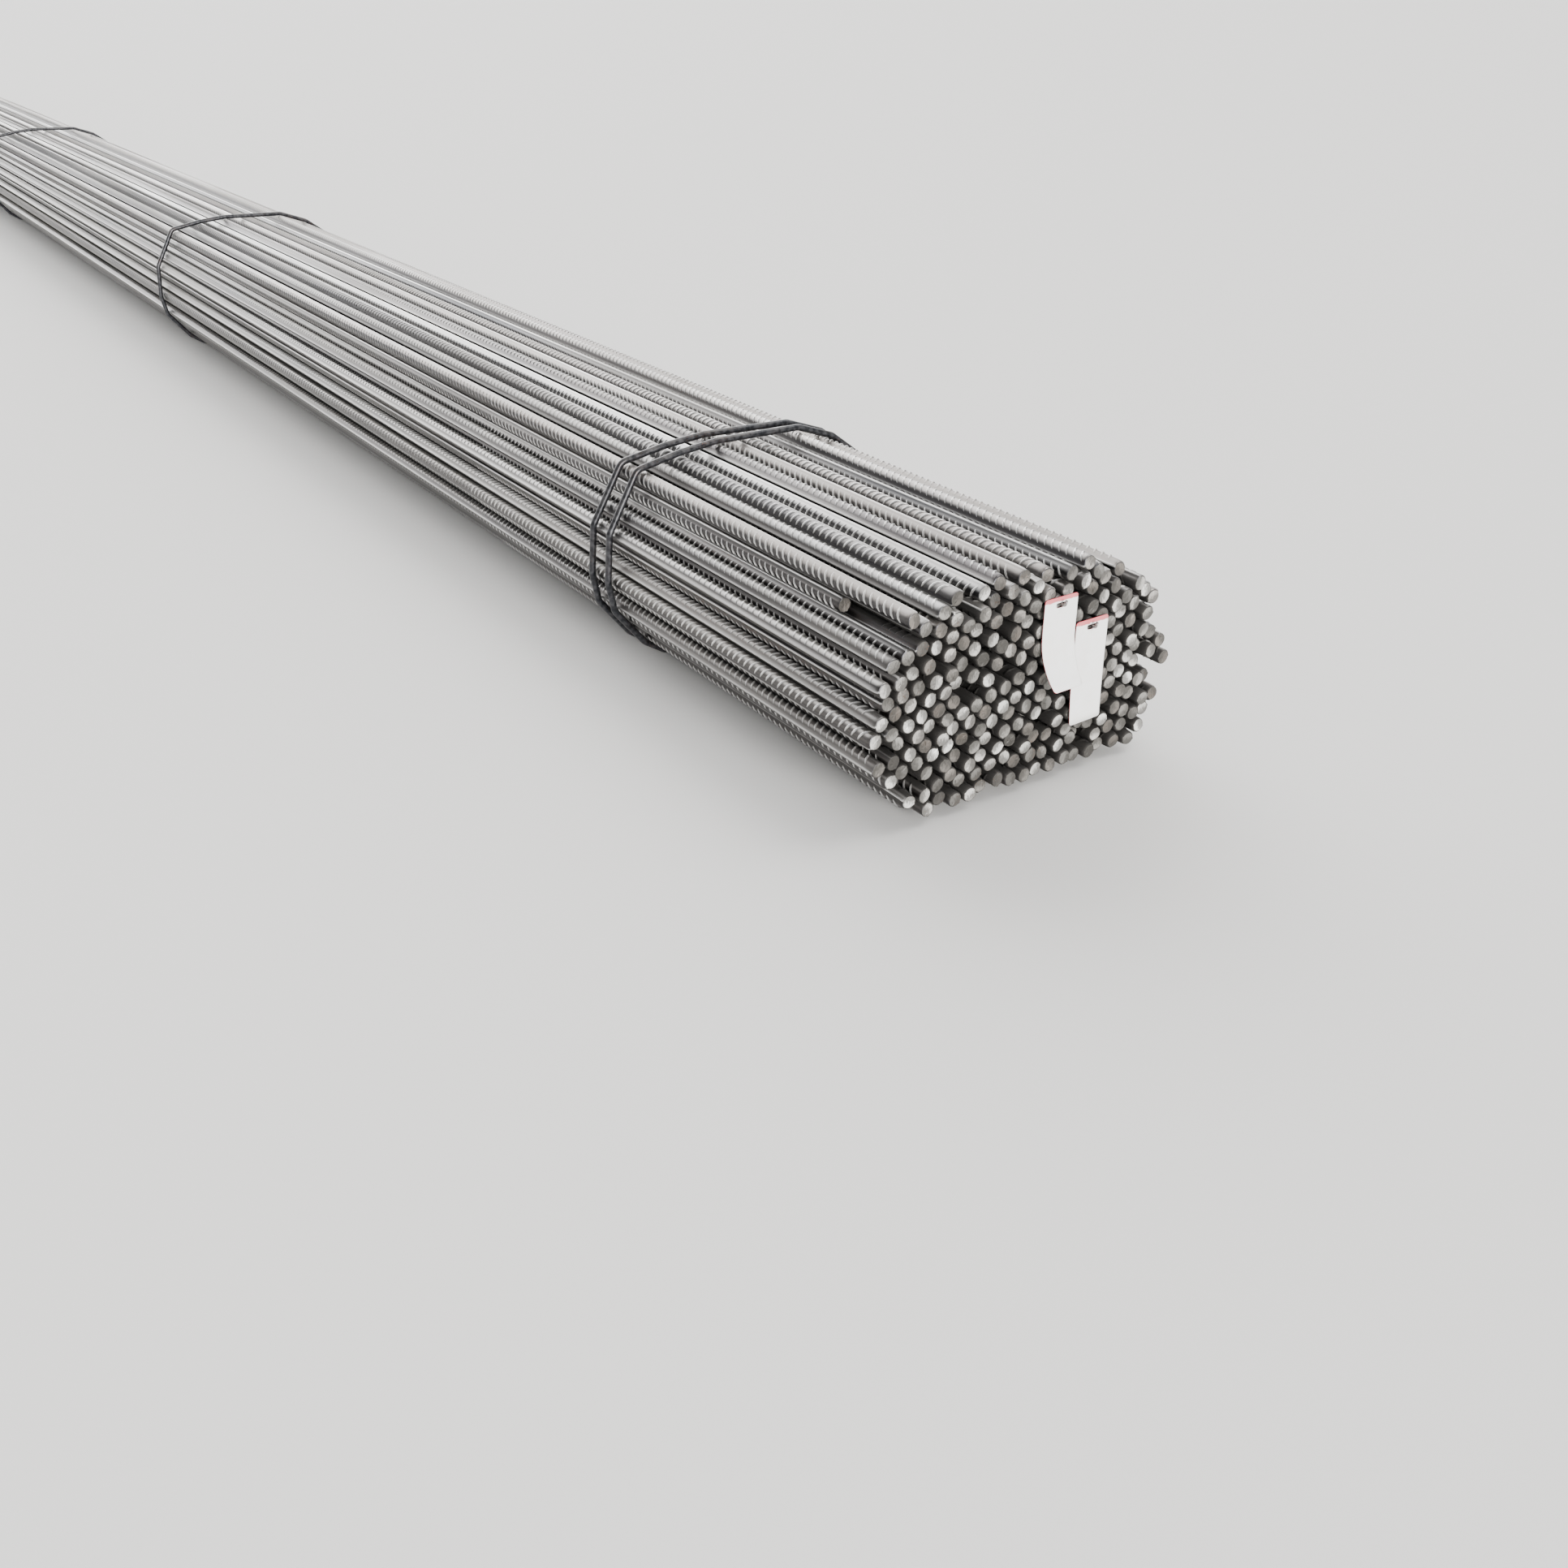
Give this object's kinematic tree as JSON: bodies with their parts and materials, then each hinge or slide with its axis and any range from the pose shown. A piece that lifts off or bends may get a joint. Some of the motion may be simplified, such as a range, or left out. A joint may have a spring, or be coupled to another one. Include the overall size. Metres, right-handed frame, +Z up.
{
  "type": "rebar bundle",
  "caption": "Long tied bundle of straight ribbed steel reinforcing bars with uneven cut ends, twisted wire ties and two hanging tags.",
  "frame": {"origin": "on the ground, in the middle of the bundle's box", "axes": "+X along the bars towards the tagged end, +Y across towards the wire twists, +Z up"},
  "size_m": [6.0173, 0.2856, 0.176],
  "materials": {
    "bar_steel": "mill scale",
    "tie_wire": "dark annealed",
    "tag": "matt white",
    "pin": "plain"
  },
  "bodies": {
    "root": {"outer_bars": "bar_steel", "inner_bars": "bar_steel", "short_bar": "bar_steel", "tie_1a": "tie_wire", "tie_1b": "tie_wire", "tie_2": "tie_wire", "tie_3": "tie_wire", "tie_4": "tie_wire", "tie_5a": "tie_wire", "tie_5b": "tie_wire", "flat_tag": "tag", "curled_tag": "tag", "flat_tag_pin": "pin", "curled_tag_pin": "pin"}
  },
  "joints": []
}
